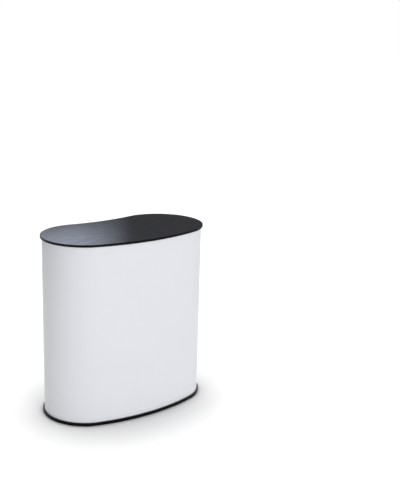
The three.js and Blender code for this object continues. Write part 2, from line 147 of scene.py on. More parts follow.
def turned(name, corners, finish, sides=48):
    """A piece turned round the Z axis from its section's corners, in radius and height. A
    section that comes back to its first corner makes a ring."""
    angles = [tau * k / sides for k in range(sides)]
    rings = [[(r * cos(a), r * sin(a), height) for a in angles] for r, height in eased(corners)]
    bm = skinned(rings, ends=False)
    bmesh.ops.remove_doubles(bm, verts=bm.verts, dist=same_point)
    return piece(bm, name, finish)


def set_down(made, place=Matrix()):
    """Keeps each point's place on the bench, which the tool's marks follow, then places it"""
    mesh = made.data
    kept = mesh.attributes.new("bench_place", "FLOAT_VECTOR", "POINT")
    kept.data.foreach_set("vector", [c for vertex in mesh.vertices for c in vertex.co])
    mesh.transform(place)
    return made


def made_plain(made):
    """Turns a piece with its modifiers into a plain mesh"""
    bpy.context.view_layer.update()
    depsgraph = bpy.context.evaluated_depsgraph_get()
    mesh = bpy.data.meshes.new_from_object(
        made.evaluated_get(depsgraph), preserve_all_data_layers=True, depsgraph=depsgraph
    )
    made.modifiers.clear()
    made.data = mesh
    return made


def fitted(made, slot, *nodes, body="carcass"):
    """Puts a piece on its body and in place of its CAD nodes. Its slot is not used."""
    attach(made, body)
    if nodes:
        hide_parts(*nodes)


def add_node(tree, kind, inputs=None, give=0, **settings):
    """Adds a node with its settings, its links or values by socket, and hands back an output"""

    def pick(sockets, key):
        ready = [socket for socket in sockets if socket.enabled]
        return ready[key] if isinstance(key, int) else next(s for s in ready if s.name == key)

    family = "GeometryNode" if tree.type == "GEOMETRY" else "ShaderNode"
    made = tree.nodes.new(kind if "Node" in kind else family + kind)
    for name, value in settings.items():
        setattr(made, name, value)
    for key, value in (inputs or {}).items():
        socket = pick(made.inputs, key)
        if isinstance(value, bpy.types.NodeSocket):
            tree.links.new(value, socket)
        else:
            socket.default_value = value
    return pick(made.outputs, give) if made.outputs else None


def bench_tree(name, kinds):
    """A geometry tree with these named inputs. Gives the tree, its node adder and its inputs."""
    tree = bpy.data.node_groups.new(name, "GeometryNodeTree")
    for label, kind in {"Geometry": "Geometry", **kinds}.items():
        tree.interface.new_socket(label, in_out="INPUT", socket_type=f"NodeSocket{kind}")
    tree.interface.new_socket("Geometry", in_out="OUTPUT", socket_type="NodeSocketGeometry")
    asked = {s.name: s for s in tree.nodes.new("NodeGroupInput").outputs}
    return tree, partial(add_node, tree), asked


def tree_end(add, geometry, finish):
    """Ends a geometry tree with real geometry in its finish"""
    loose = add("RealizeInstances", {"Geometry": geometry})
    coated = add("SetMaterial", {"Geometry": loose, "Material": finish})
    add("NodeGroupOutput", {"Geometry": coated})


def grown(made, tree, values):
    """Runs a geometry tree on a piece with these values by input name, and makes it plain"""
    modifier = made.modifiers.new(tree.name, "NODES")
    modifier.node_group = tree
    for item in tree.interface.items_tree:
        if item.in_out == "INPUT" and item.name in values:
            modifier[item.identifier] = values[item.name]
    return made_plain(made)


# One like piece on every point, its Z axis along the point's facing, each turned by chance
repeat_tree, add, asked = bench_tree(
    "repeat on points",
    {"Like piece": "Object", "Chance turn": "Float", "Seed": "Int", "Finish": "Material"},
)
facing = add("InputNamedAttribute", {"Name": "facing"}, data_type="FLOAT_VECTOR")
upright = add("FunctionNodeAlignRotationToVector", {"Vector": facing}, axis="Z")
chance = add(
    "FunctionNodeRandomValue", {"Min": 0.0, "Max": asked["Chance turn"], "Seed": asked["Seed"]},
    data_type="FLOAT",
)
spin = add("FunctionNodeAxisAngleToRotation", {"Axis": (0, 0, 1), "Angle": chance})
settled = add(
    "FunctionNodeRotateRotation", {"Rotation": upright, "Rotate By": spin}, rotation_space="LOCAL"
)
like_piece = add("ObjectInfo", {"Object": asked["Like piece"]}, give="Geometry")
copies = add(
    "InstanceOnPoints", {"Points": asked["Geometry"], "Instance": like_piece, "Rotation": settled}
)
tree_end(add, copies, asked["Finish"])


def repeated(name, like, places, finish, chance_turn=0.0, seed=1):
    """The like piece at each (point, facing), as one piece. The like piece itself goes."""
    mesh = bpy.data.meshes.new(name)
    mesh.from_pydata([point for point, _ in places], [], [])
    ways = mesh.attributes.new("facing", "FLOAT_VECTOR", "POINT")
    ways.data.foreach_set("vector", [c for _, way in places for c in way])
    values = {"Like piece": like, "Chance turn": chance_turn, "Seed": seed, "Finish": finish}
    made = grown(put_out(name, mesh), repeat_tree, values)
    bpy.data.objects.remove(like)
    return made


def colour(code):
    """The linear colour of an sRGB hex value"""
    parts = [int(code[i : i + 2], 16) / 255 for i in (1, 3, 5)]
    return (*[c / 12.92 if c <= 0.04045 else ((c + 0.055) / 1.055) ** 2.4 for c in parts], 1)


def marks(add, along, across=None, up=None, **look):
    """A pattern whose marks are really this long on the piece's X, Y and Z"""
    sizes = (along, across or along, up or along)
    place = add("TexCoord", give="Object")
    sized = add("Mapping", {"Vector": place, "Scale": [1 / size for size in sizes]})
    return add("TexNoise", {"Vector": sized, "Scale": 1.0, **look})


def varied(add, shader, pattern, rough=None, span=(0, 1), relief=0, over=None, tones=None):
    """Lets a pattern vary a finish's roughness, over a span of it, its relief and its tone"""
    drawn = {}
    if rough:
        ends = {"From Min": span[0], "From Max": span[1], "To Min": rough[0], "To Max": rough[1]}
        drawn["Roughness"] = add("MapRange", {"Value": pattern, **ends})
    if relief:
        below = {"Normal": over} if over else {}
        drawn["Normal"] = add("Bump", {"Height": pattern, "Distance": relief, **below})
    if tones:
        mixed = {"Factor": pattern, "A": colour(tones[0]), "B": colour(tones[1])}
        drawn["Base Color"] = add("Mix", mixed, data_type="RGBA")
    for name, output in drawn.items():
        output.id_data.links.new(output, shader[name])


def finish_of(name, code, roughness, metallic=0.0, extra=None):
    """A finish of plain values. Gives the material, its node adder and the way to vary it."""
    made = bpy.data.materials.new(name)
    made.use_nodes = True
    made.diffuse_color = colour(code)
    shader = made.node_tree.nodes["Principled BSDF"].inputs
    plain = {"Base Color": colour(code), "Roughness": roughness, "Metallic": metallic}
    for socket, value in {**plain, **(extra or {})}.items():
        shader[socket].default_value = value
    add = partial(add_node, made.node_tree)
    return made, add, partial(varied, add, shader)


# Injection moulded nylon 6: dull, with the fine even pebble of its mould, really 0.1 mm and
# drawn at 0.4 mm so that it shows.
black_nylon, add, vary = finish_of("moulded nylon, black", "#1A1A1B", 0.55)
pebble_size, pebble_height = 0.4 * mm, 0.03 * mm
vary(marks(add, pebble_size, Detail=1.0), rough=(0.48, 0.64), relief=pebble_height)

glide_bottom, glide_top = levels("glide_front_middle")
section = [
    (glide_bore, glide_top), (glide_radius, glide_top, keen_edge),
    (glide_radius, glide_chamfer, blunt_edge), (glide_foot, glide_bottom, blunt_edge),
    (glide_sink, glide_bottom, keen_edge), (glide_bore, sink_depth), (glide_bore, glide_top),
]
glide = turned("glide", section, black_nylon)
glide_nodes = [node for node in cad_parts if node.startswith("glide_")]
glide_places = [(Vector((*middle(node).xy, 0)), (0, 0, 1)) for node in sorted(glide_nodes)]
glides = repeated("glides_moulded", set_down(glide), glide_places, black_nylon)
fitted(glides, "black_nylon", *glide_nodes)


# Base board and top board: 15 and 12 mm fibreboard cut to the kidney plan and faced in black
# laminate. A groove round the edge takes the trim, and a hole beside the hinge jamb a bush.
lobe_spacing = 464 * mm
lobe_radius = 228 * mm
front_radius = 1044 * mm
hollow_radius = 890 * mm
board_inset = 2.3 * mm
groove_inset = 8.3 * mm
groove_half = 1.3 * mm
bush_hole_radius = 5.3 * mm
bush_hole_depth = 8.3 * mm
overrun = 2 * mm

quarter = pi / 2
lobe_x = lobe_spacing / 2
front_centre = sqrt((front_radius - lobe_radius) ** 2 - lobe_x**2)
hollow_centre = sqrt((hollow_radius + lobe_radius) ** 2 - lobe_x**2)
lobe_y = (front_radius - front_centre - lobe_radius) / 2
front_y = lobe_y + front_centre
hollow_y = lobe_y + hollow_centre
hollow_half = atan2(lobe_x, hollow_centre)
front_tangent = atan2(-front_centre, lobe_x)
back_tangent = quarter + hollow_half
front_steps, fore_steps, aft_steps, back_steps, hollow_steps = 48, 32, 40, 8, 36


def bend(centre_x, centre_y, radius, inward, start, end, steps):
    """Stations along one bend of the plan. An inset shortens the radius of a bulge, where
    inward is -1, and lengthens that of the hollow, where it is 1."""
    turn = (end - start) / steps
    return [(centre_x, centre_y, radius, inward, start + turn * i) for i in range(steps + 1)]


def hollow_bend(half):
    """The bend of the hollow, so far to each side of its middle"""
    start, end = half - quarter, -half - quarter
    return bend(0, hollow_y, hollow_radius, 1, start, end, hollow_steps)


def other_end(run):
    """The same run of stations on the other end of the counter"""
    return [(-x, y, r, inward, pi - angle) for x, y, r, inward, angle in reversed(run)]


def inset_point(station, inset, height=0.0):
    """The point so far inside the outline at a station"""
    centre_x, centre_y, radius, inward, angle = station
    reach = radius + inward * inset
    x = centre_x + reach * cos(angle)
    y = centre_y + reach * sin(angle)
    return Vector((x, y, height))


lobe_bend = partial(bend, lobe_x, lobe_y, lobe_radius, -1)
front = bend(0, front_y, front_radius, -1, -pi - front_tangent, front_tangent, front_steps)
right_round = lobe_bend(front_tangent, 0, fore_steps) + lobe_bend(0, quarter, aft_steps)[1:]
right_end = right_round + lobe_bend(quarter, back_tangent, back_steps)[1:]
hollow = hollow_bend(hollow_half)
wrap_run = other_end(right_end) + front[1:] + right_end[1:]
strip_run = other_end(right_round) + front[1:] + right_round[1:]
outline = wrap_run[1:] + hollow[1:]


def carved(made, *cutters):
    """Cuts the cutters' shapes out of a piece. The cutters go."""
    for cutter in cutters:
        cut = made.modifiers.new("cut", "BOOLEAN")
        cut.solver = "EXACT"
        cut.object = cutter
    made_plain(made)
    for cutter in cutters:
        bpy.data.objects.remove(cutter)
    shaded(made.data)
    return made


def drill(radius, bottom, top, place=Matrix(), sides=48):
    """A cutter for a round hole"""
    corners = [(0, bottom), (radius, bottom), (radius, top), (0, top)]
    made = turned("drill", corners, None, sides)
    made.data.transform(place)
    return made


# High-pressure laminate, black with a pressed grain: it mirrors a pale sky at a low angle and
# turns deep black from above. Its streaks are really 0.5 mm apart, drawn 2.5 mm apart and
# 70 mm long, and duller clouds of 80 by 20 mm lie in its shine.
laminate, add, vary = finish_of("high-pressure laminate, black", "#26272A", 0.3)
streak_length, streak_gap, grain_depth, pore_size = 70 * mm, 2.5 * mm, 1000 * mm, 1.2 * mm
cloud_length, cloud_width, grain_height = 80 * mm, 20 * mm, 0.02 * mm
streaks = marks(add, streak_length, streak_gap, grain_depth, Detail=3.0)
clouds = marks(add, cloud_length, cloud_width, grain_depth, Detail=4.0)
pores = marks(add, pore_size, Detail=2.0)
grain = add("Mix", {"Factor": 0.3, "A": streaks, "B": pores})
inked = add("MapRange", {"Value": grain, "From Min": 0.35, "From Max": 0.65})
dulled = add("Mix", {"Factor": 0.65, "A": grain, "B": clouds})
vary(inked, tones=("#252629", "#2C2D31"))
vary(dulled, rough=(0.22, 0.36), span=(0.38, 0.62))
vary(grain, relief=grain_height)

base_top = levels("base_board")[1]
top_bottom = levels("top_board")[0]
pivot = Matrix.Translation((*middle("door_base_pivot_pin").xy, 0))
bush_faces = (("base", base_top, -1), ("top", top_bottom, 1))
for level, face, way in bush_faces:
    bottom, top = levels(f"{level}_board")
    half_way = (bottom + top) / 2
    low, high = half_way - groove_half, half_way + groove_half
    section = [
        (board_inset, bottom), (board_inset, low), (groove_inset, low), (groove_inset, high),
        (board_inset, high), (board_inset, top),
    ]
    rings = [[inset_point(station, *corner) for station in outline] for corner in section]
    board = piece(skinned(rings), f"{level}_board_faced", laminate)
    hole = sorted((face - way * overrun, face + way * bush_hole_depth))
    carved(board, drill(bush_hole_radius, *hole, pivot))
    fitted(board, "black_laminate", f"{level}_board")


# Edge trims: soft black PVC extruded as a T, tapped into each board's groove in one length and
# bent round it. Its two ends meet in a butt joint in the middle of the hollow.
trim_face = 2 * mm
trim_bulge = 0.25 * mm
trim_corner = 1.3 * mm
trim_barb_end = 8 * mm
trim_barb_half = 1 * mm
trim_flat = 3 * mm
joint_gap = 0.25 * mm

# Extruded plasticised PVC: even black with a soft shine on its rounded face, and faint die
# lines along its length, really 0.1 mm apart and drawn 0.6 mm apart.
trim_pvc, add, vary = finish_of(
    "extruded PVC edging, black", "#0A0A0B", 0.4, extra={"Specular IOR Level": 0.07}
)
die_line_length, die_line_gap, die_line_height = 500 * mm, 0.6 * mm, 0.02 * mm
scuff_size = 45 * mm
die_lines = marks(add, die_line_length, die_line_length, die_line_gap, Detail=1.0)
vary(marks(add, scuff_size, Detail=4.0), rough=(0.3, 0.5))
vary(die_lines, relief=die_line_height)

split = len(hollow) // 2
gap = joint_gap / 2 / hollow_radius
*hollow_arc, butt_angle = hollow[split]
first, last = (*hollow_arc, butt_angle - gap), (*hollow_arc, butt_angle + gap)
trim_run = [first, *hollow[split + 1 :], *wrap_run[1:], *hollow[1:split], last]
for level in ("base", "top"):
    bottom, top = levels(f"{level}_edge_trim")
    half_way = (bottom + top) / 2
    low, high = half_way - trim_barb_half, half_way + trim_barb_half
    section = [
        (trim_face, bottom), (trim_bulge, bottom, trim_corner),
        (0, bottom + trim_flat, trim_corner), (0, top - trim_flat, trim_corner),
        (trim_bulge, top, trim_corner), (trim_face, top), (trim_face, high), (trim_barb_end, high),
        (trim_barb_end, low), (trim_face, low),
    ]
    shape = eased(section)
    rings = [[inset_point(station, *corner) for corner in shape] for station in trim_run]
    trim = piece(skinned(rings), f"{level}_trim_extruded", trim_pvc)
    fitted(trim, "black_edge_trim", f"{level}_edge_trim")


# Rim plates: 15 mm black fibreboard glued and screwed on the base board and under the top
# board, a little smaller, so that their edges give the wrap its shape.
rim_inset = 14.6 * mm
rim_back_inset = 27.5 * mm
rim_arris = 0.6 * mm
rim_screw_inset = 42 * mm
screw_head_radius = 4.2 * mm
screw_neck_radius = 2.1 * mm
screw_head_depth = 2 * mm
screw_room = 0.15 * mm
hole_depth = 3.2 * mm
hole_sides = 32
sharp_turn = radians(50)

# Black-dyed fibreboard with a sealed face: flat and dull, with short pale fibres in it, really
# 0.2 mm wide and drawn 0.9 mm wide.
sealed_board, add, vary = finish_of("sealed fibreboard, black", "#1D1E20", 0.62)
fibre_size, fibre_height, cloud_size = 0.9 * mm, 0.05 * mm, 60 * mm
fibres = marks(add, fibre_size, Detail=3.0, Distortion=1.2)
fleck = add("MapRange", {"Value": fibres, "From Min": 0.55, "From Max": 0.78})
vary(fleck, tones=("#1A1B1D", "#2F2F30"))
vary(marks(add, cloud_size, Detail=3.0), rough=(0.52, 0.74))
vary(fibres, relief=fibre_height)


def sawn(name, plan, bottom, top, arris, finish):
    """A flat piece of this plan, its sharp edges eased"""
    bm = skinned([[Vector((*point[:2], height)) for point in plan] for height in (bottom, top)])
    bmesh.ops.recalc_face_normals(bm, faces=bm.faces[:])
    edges = [edge for edge in bm.edges if edge.calc_face_angle() > sharp_turn]
    bmesh.ops.bevel(bm, geom=edges, offset=arris, segments=2, profile=0.5, affect="EDGES")
    return piece(bm, name, finish)


def plate_plan(around, back):
    """The plan of an inner plate, which is set back further behind the hollow"""
    sides = [inset_point(station, around) for station in wrap_run]
    return sides + [inset_point(station, back) for station in hollow]


def screw_cutter(places):
    """A cutter for countersunk holes at these (point, facing)"""
    head, neck = screw_head_radius + screw_room, screw_neck_radius + screw_room
    corners = [(0, overrun), (head, overrun), (head, 0), (neck, -screw_head_depth)]
    corners += [(neck, -hole_depth), (0, -hole_depth)]
    return repeated("countersinks", turned("countersink", corners, None, hole_sides), places, None)


rim_screw_points = [
    inset_point(station, rim_screw_inset)
    for run in (other_end(right_end), front, right_end, hollow)
    for station in run[len(run) // 6 :: len(run) // 3]
]
screw_places = {}
inner_ways = (("base", 1), ("top", -1))
for level, way in inner_ways:
    bottom, top = levels(f"{level}_rim_plate")
    face = top if way > 0 else bottom
    places = [(Vector((*point.xy, face)), (0, 0, way)) for point in rim_screw_points]
    plan = plate_plan(rim_inset, rim_back_inset)
    rim = sawn(f"{level}_rim_sealed", plan, bottom, top, rim_arris, sealed_board)
    fitted(carved(rim, screw_cutter(places)), "black_board", f"{level}_rim_plate")
    screw_places[f"{level} rim"] = places


# Magnet strips: rubber-bound ferrite tape, 12 by 1.5 mm, stuck to each rim plate's edge round
# the front and both ends. They hold the steel strips on the wrap.
magnet_inset = 12.8 * mm
magnet_thickness = 1.5 * mm
tape_edge = 0.15 * mm

# Calendered ferrite rubber: brown-black and chalky, with fine calender lines along the tape,
# really 0.2 mm apart and drawn 0.8 mm apart.
magnet_rubber, add, vary = finish_of("magnetic rubber tape", "#2A2320", 0.8)
calender_length, calender_gap, calender_height = 67 * mm, 0.8 * mm, 0.03 * mm
lines = marks(add, calender_length, calender_length, calender_gap, Detail=2.0)
vary(lines, rough=(0.7, 0.9), relief=calender_height, tones=("#221C19", "#352D29"))

# A sheet or tape stood on edge along a run of the plan
sheet_tree, add, asked = bench_tree(
    "sheet on edge",
    {"Thickness": "Float", "Height": "Float", "Edge radius": "Float", "Finish": "Material"},
)
path = add("MeshToCurve", {"Mesh": asked["Geometry"]})
level_path = add("SetCurveNormal", {"Curve": path}, mode="Z_UP")
edge_on = add(
    "CurvePrimitiveQuadrilateral", {"Width": asked["Thickness"], "Height": asked["Height"]}
)
softened = add(
    "FilletCurve", {"Curve": edge_on, "Count": 2, "Radius": asked["Edge radius"]}, mode="POLY"
)
swept = add("CurveToMesh", {"Curve": level_path, "Profile Curve": softened, "Fill Caps": True})
tree_end(add, swept, asked["Finish"])


def sheet_on_edge(name, node, run, inset, thickness, edge, finish, slot):
    """A sheet whose outer face is so far inside the outline, along these stations"""
    bottom, top = levels(node)
    half_way = (bottom + top) / 2
    points = [inset_point(station, inset + thickness / 2, half_way) for station in run]
    mesh = bpy.data.meshes.new(name)
    mesh.from_pydata(points, [(i, i + 1) for i in range(len(points) - 1)], [])
    values = {"Thickness": thickness, "Height": top - bottom, "Edge radius": edge}
    made = grown(put_out(name, mesh), sheet_tree, {**values, "Finish": finish})
    shaded(made.data)
    fitted(made, slot, node)


for level in ("base", "top"):
    sheet_on_edge(
        f"{level}_magnet_tape", f"{level}_magnet_strip", strip_run, magnet_inset, magnet_thickness,
        tape_edge, magnet_rubber, "magnet_strip",
    )


# Spigots: eight studs turned from steel bar, each with a flange that is screwed to a rim plate.
# The lower tubes push over four of them, and the top lifts off the upper tubes with the others.
corners = ("front_left", "front_right", "back_left", "back_right")
flange_radius = 25 * mm
flange_thickness = 4 * mm
flange_edge = 0.8 * mm
slight_edge = 0.3 * mm
flange_screw_circle = 19.8 * mm
flange_screws = 4
spigot_radius = 13.2 * mm
spigot_chamfer = 1.5 * mm
stud_sides = 64
soft_edge = 0.4 * mm

# Free-cutting steel, turned and left bright: grey metal whose fine rings spread the highlight
# across them. The tool marks are really 0.1 mm apart, drawn 0.5 mm apart.
turned_steel, add, vary = finish_of("turned steel, bright", "#B4B7BA", 0.28, 1.0)
tool_mark_gap, tool_mark_height = 0.5 * mm, 0.02 * mm
bench = add("Attribute", attribute_name="bench_place", give="Vector")
bench_z = add("SeparateXYZ", {"Vector": bench}, give="Z")
flat_place = add("VectorMath", {0: bench, 1: (1, 1, 0)}, operation="MULTIPLY")
from_axis = add("VectorMath", {0: flat_place}, give="Value", operation="LENGTH")
tool_path = add("Math", {0: from_axis, 1: bench_z}, operation="ADD")
passes = add("Math", {0: tool_path, 1: 1 / tool_mark_gap}, operation="MULTIPLY")
rings = add("TexNoise", {"W": passes, "Scale": 1.0, "Detail": 2.0}, noise_dimensions="1D")
vary(rings, rough=(0.2, 0.38), relief=tool_mark_height)

post_axes = [Vector((*middle(f"lower_post_{corner}").xy, 0)) for corner in corners]
flange_turns = [
    Matrix.Rotation(tau * (k + 0.5) / flange_screws, 3, "Z") for k in range(flange_screws)
]


def stud_tip(end, way):
    """A stud's chamfered end, up where way is 1 and down where it is -1"""
    shoulder = (spigot_radius, end - way * spigot_chamfer, soft_edge)
    return [shoulder, (spigot_radius - spigot_chamfer, end, soft_edge), (0, end)]


def on_posts(name, like, stem, finish, slot):
    """One of these on each of the four post axes"""
    made = repeated(name, set_down(like), [(axis, (0, 0, 1)) for axis in post_axes], finish)
    fitted(made, slot, *[f"{stem}_{corner}" for corner in corners])


for level, way in inner_ways:
    foot, tip = levels(f"{level}_spigot_front_left")[::way]
    seat = foot + way * flange_thickness
    section = [
        (0, foot), (flange_radius, foot, slight_edge), (flange_radius, seat, flange_edge),
        (spigot_radius, seat), *stud_tip(tip, way),
    ]
    first_hole = Vector((flange_screw_circle, 0, seat))
    holes = [(turn @ first_hole, (0, 0, way)) for turn in flange_turns]
    spigot = carved(turned("spigot", section, turned_steel, stud_sides), screw_cutter(holes))
    on_posts(f"{level}_spigots_turned", spigot, f"{level}_spigot", turned_steel, "turned_steel")
    screw_places[f"{level} flanges"] = [
        (axis + point, facing) for axis in post_axes for point, facing in holes
    ]


# Lower and upper posts: drawn aluminium tube, 30 mm across with a 1.5 mm wall, sawn to length,
# its ends eased and then anodised.
tube_radius = 15 * mm
tube_bore = 13.5 * mm
tube_arris = 0.3 * mm

# Satin anodised aluminium: pale grey, its soft highlight drawn out by fine lines along the
# tube or bar. They are really 0.05 mm apart, drawn 0.5 mm apart and 150 mm long.
anodised, add, vary = finish_of("anodised aluminium, satin", "#C3C6C9", 0.34, 1.0)
draw_line_length, draw_line_gap, draw_line_height = 150 * mm, 0.5 * mm, 0.01 * mm
lines = marks(add, draw_line_gap, draw_line_gap, draw_line_length, Detail=2.0)
vary(lines, rough=(0.26, 0.44), relief=draw_line_height, tones=("#BBBEC1", "#CACDD0"))

for level in ("lower", "upper"):
    bottom, top = levels(f"{level}_post_front_left")
    inner, outer = tube_bore + tube_arris, tube_radius - tube_arris
    low, high = bottom + tube_arris, top - tube_arris
    section = [(tube_bore, low), (inner, bottom), (outer, bottom), (tube_radius, low)]
    section += [(tube_radius, high), (outer, top), (inner, top), (tube_bore, high), section[0]]
    tube = turned("tube", section, anodised, stud_sides)
    on_posts(f"{level}_posts_drawn", tube, f"{level}_post", anodised, "satin_aluminium")


# Shelf joiners: turned steel studs with a collar. Each drops into a lower tube, carries the
# shelf on its collar, and takes the upper tube above the shelf.
collar_radius = 20 * mm
collar_edge = 0.6 * mm
shelf_bottom, shelf_top = levels("shelf_board")
joiner_bottom, joiner_top = levels("shelf_joiner_front_left")
tube_end = levels("lower_post_front_left")[1]
section = [
    *stud_tip(joiner_bottom, -1)[::-1], (spigot_radius, tube_end),
    (collar_radius, tube_end, collar_edge), (collar_radius, shelf_bottom, collar_edge),
    (spigot_radius, shelf_bottom), *stud_tip(joiner_top, 1),
]
joiner = turned("joiner", section, turned_steel, stud_sides)
on_posts("shelf_joiners_turned", joiner, "shelf_joiner", turned_steel, "turned_steel")


# Shelf: 15 mm black fibreboard, sealed, with a hole over each post. It lifts off the collars
# when the counter is packed away.
shelf_inset = 20.6 * mm
shelf_back_inset = 35 * mm
shelf_arris = 1.2 * mm
shelf_hole_radius = 13.5 * mm
plan = plate_plan(shelf_inset, shelf_back_inset)
shelf = sawn("shelf_sealed", plan, shelf_bottom, shelf_top, shelf_arris, sealed_board)
reach = (shelf_bottom - overrun, shelf_top + overrun)
holes = [drill(shelf_hole_radius, *reach, Matrix.Translation(axis)) for axis in post_axes]
fitted(carved(shelf, *holes), "black_board", "shelf_board")


# Frame screws: countersunk wood screws with a cross recess, zinc plated, through the spigot
# flanges, the rim plates and the glides.
screw_depth = 2.9 * mm
screw_head_edge = 0.15 * mm
recess_length = 4.6 * mm
recess_width = 0.9 * mm
recess_depth = 1.1 * mm
recess_taper = 0.7
screw_sides = 24
square = ((-1, -1), (1, -1), (1, 1), (-1, 1))

# Zinc plate on steel: bright bluish grey with a slight cloud in its shine.
zinc_plate, add, vary = finish_of("zinc-plated steel", "#C4C8CC", 0.3, 1.0)
cloud_size = 1.5 * mm
vary(marks(add, cloud_size, Detail=2.0), rough=(0.22, 0.42))


def cross_recess(face=0):
    """A cutter for the cross in a screw's head, whose face is at this height"""
    bm = bmesh.new()
    for length, width in ((recess_length, recess_width), (recess_width, recess_length)):
        levels_down = ((recess_taper, face - recess_depth), (1, face), (1, face + overrun))
        half, across = length / 2, width / 2
        rings = [[(x * half * t, y * across * t, z) for x, y in square] for t, z in levels_down]
        skinned(rings, bm)
    return piece(bm, "recess", None)


section = [
    (0, 0), (screw_head_radius, 0, screw_head_edge), (screw_neck_radius, -screw_head_depth),
    (screw_neck_radius, -screw_depth), (0, -screw_depth),
]
screw = carved(turned("wood_screw", section, zinc_plate, screw_sides), cross_recess())
screw_places["glides"] = [
    (point + Vector((0, 0, screw_room)), (0, 0, -1)) for point, _ in glide_places
]
order = ("base rim", "base flanges", "top rim", "top flanges", "glides")
places = [place for group in order for place in screw_places[group]]
frame_screws = repeated("frame_screws", screw, places, zinc_plate, tau, seed=7)
fitted(frame_screws, "turned_steel")


# Wrap: a white PVC sheet 2 mm thick that rolls up, with a matt film over its face. It stands
# on the base round the front and both ends, behind the lips of the two boards.
wrap_inset = 9 * mm
wrap_thickness = 2 * mm
wrap_edge = 0.4 * mm

# White rigid PVC under a matt embossed film: an even cool white with a broad soft sheen. The
# film's fine sand is really 0.2 mm, drawn at 0.9 mm, and the sheet keeps faint upright waves
# 90 mm wide from being rolled.
matt_film, add, vary = finish_of("white PVC sheet with matt film", "#E9EBF0", 0.5)
wave_width, wave_length, wave_height = 90 * mm, 1400 * mm, 0.5 * mm
sand_size, sand_height, mottle_size = 0.9 * mm, 0.02 * mm, 240 * mm
waves = marks(add, wave_width, wave_width, wave_length, Detail=0.0)
wavy = add("Bump", {"Height": waves, "Distance": wave_height})
sand = marks(add, sand_size, Detail=2.0)
vary(marks(add, mottle_size, Detail=2.0), tones=("#E7E9EE", "#EBEDF2"))
vary(sand, rough=(0.42, 0.58), relief=sand_height, over=wavy)

sheet_on_edge(
    "wrap_sheet", "wrap_panel", wrap_run, wrap_inset, wrap_thickness, wrap_edge, matt_film,
    "white_wrap",
)


# Steel strips: galvanised steel tape stuck inside the wrap's two long edges. The magnets
# take hold of them.
steel_inset = 11.3 * mm
steel_thickness = 1.2 * mm

# Hot-dip galvanised steel: pale grey with a patchwork of frosty crystals 6 mm across.
galvanised, add, vary = finish_of("galvanised steel", "#AEB2B6", 0.42, 1.0)
crystal_size = 6 * mm
place = add("TexCoord", give="Object")
crystals = add("TexVoronoi", {"Vector": place, "Scale": 1 / crystal_size}, give="Color")
frost = add("RGBToBW", {"Color": crystals})
vary(frost, rough=(0.32, 0.56), tones=("#A4A8AC", "#BABEC1"))

for level in ("base", "top"):
    sheet_on_edge(
        f"{level}_steel_tape", f"wrap_{level}_steel_strip", strip_run, steel_inset,
        steel_thickness, tape_edge, galvanised, "steel_strip",
    )


# Jambs: two extruded aluminium angles at the ends of the wrap, between the boards. Each has a
# flange behind the wrap, and the lock's has a lip that stops the door and takes the cam.
jamb_thickness = 3 * mm
jamb_gap = 0.3 * mm
jamb_flange = 18 * mm
flange_steps = 6
jamb_depth = 26.5 * mm
jamb_arris = 0.35 * mm
flange_inset = wrap_inset + wrap_thickness + jamb_gap
flange_back = flange_inset + jamb_thickness
door_gap = 3 * mm
lip_cover = 8 * mm
door_edge = jamb_gap + jamb_thickness + door_gap


def square_to_hollow(turn, across, height):
    """A place square to the hollow, where heights count as depths inside the outline"""
    return (
        Matrix.Translation((0, hollow_y, 0))
        @ Matrix.Rotation(-turn, 4, "Z")
        @ Matrix.Translation((across, -hollow_radius, height))
        @ Matrix.Rotation(quarter, 4, "X")
    )


flange_turn = jamb_flange / (lobe_radius - wrap_inset - wrap_thickness)
flange_run = lobe_bend(back_tangent - flange_turn, back_tangent, flange_steps)
wrap_side, door_side = -jamb_gap, -jamb_gap - jamb_thickness
lip_edge, lip_face = -door_edge - lip_cover, jamb_depth - jamb_thickness
lip = [(lip_edge, jamb_depth), (lip_edge, lip_face), (door_side, lip_face)]
jamb_bottom, jamb_top = levels("hinge_jamb")
right_end_place = square_to_hollow(-hollow_half, 0, 0)
for side, inner_end in (("hinge", [(door_side, jamb_depth)]), ("lock", lip)):
    beside = [(wrap_side, flange_back), (wrap_side, jamb_depth), *inner_end]
    beside += [(door_side, wrap_inset), (wrap_side, wrap_inset), (wrap_side, flange_inset)]
    plan = [right_end_place @ Vector((across, 0, depth)) for across, depth in beside]
    plan += [inset_point(station, flange_inset) for station in reversed(flange_run)]
    plan += [inset_point(station, flange_back) for station in flange_run]
    if side == "lock":
        plan = [Vector((-x, y, 0)) for x, y, _ in plan]
    jamb = sawn(f"{side}_jamb_extruded", plan, jamb_bottom, jamb_top, jamb_arris, anodised)
    fitted(jamb, "satin_aluminium", f"{side}_jamb")


